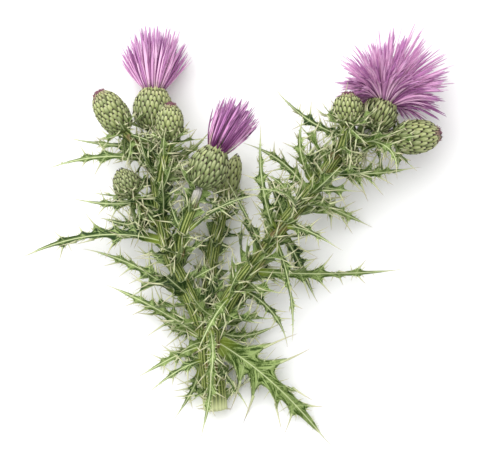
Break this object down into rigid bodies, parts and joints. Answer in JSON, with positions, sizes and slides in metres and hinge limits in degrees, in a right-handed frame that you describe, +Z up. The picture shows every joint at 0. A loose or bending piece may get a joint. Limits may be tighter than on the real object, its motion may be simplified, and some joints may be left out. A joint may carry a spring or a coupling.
{
  "type": "thistle flower",
  "caption": "Cut spray of thistle in flower: a branching prickly stem with lobed, spiny leaves, scaly closed buds and tufted pink-purple flower heads, lying on its side.",
  "frame": {"origin": "on the table, under the middle of the spray's bounding box as it lies", "axes": "+X across the spray from its left head to its right head, +Y from the cut end of the stem towards the flower heads, +Z up from the table that the spray lies on"},
  "size_m": [0.183, 0.1756, 0.0557],
  "materials": {
    "stem": "fresh green stem with pale ribs",
    "leaf": "matte green leaf with pale veins and spines",
    "bracts": "matte green overlapping scales with dark points",
    "florets": "soft pink-purple threads"
  },
  "bodies": {
    "root": {"back_bud": "bracts", "back_stem": "stem", "front_bud": "bracts", "front_bud_stalk": "stem", "leaf_arched_front": "leaf", "leaf_arched_left": "leaf", "leaf_behind_right": "leaf", "leaf_big_right": "leaf", "leaf_by_front_bud": "leaf", "leaf_by_small_bud": "leaf", "leaf_crossing": "leaf", "leaf_dark_right": "leaf", "leaf_foot_down_left": "leaf", "leaf_foot_front": "leaf", "leaf_foot_left": "leaf", "leaf_foot_left_dark": "leaf", "leaf_foot_right": "leaf", "leaf_fork_front": "leaf", "leaf_fork_low_front": "leaf", "leaf_inner_high": "leaf", "leaf_inner_low": "leaf", "leaf_left_big": "leaf", "leaf_left_long": "leaf", "leaf_left_lower": "leaf", "leaf_left_upper": "leaf", "leaf_lower_left": "leaf", "leaf_right_long": "leaf", "leaf_right_mid": "leaf", "leaf_right_upper": "leaf", "leaf_spike_high": "leaf", "leaf_spike_low": "leaf", "leaf_tall_front": "leaf", "leaf_under_fork": "leaf", "leaf_under_head": "leaf", "leaf_under_left": "leaf", "leaf_under_long_bud": "leaf", "leaf_under_middle": "leaf", "leaf_under_right": "leaf", "leaf_upper_left": "leaf", "leaf_upright": "leaf", "leaf_upright_side": "leaf", "left_bud": "bracts", "left_bud_stalk": "stem", "left_cup": "bracts", "left_florets": "florets", "left_stem": "stem", "long_bud": "bracts", "long_bud_stalk": "stem", "main_stem": "stem", "middle_cup": "bracts", "middle_florets": "florets", "middle_stem": "stem", "right_cup": "bracts", "right_florets": "florets", "right_stem": "stem", "round_bud": "bracts", "round_bud_stalk": "stem", "side_bud": "bracts", "small_bud": "bracts", "small_bud_stalk": "stem"}
  },
  "joints": []
}
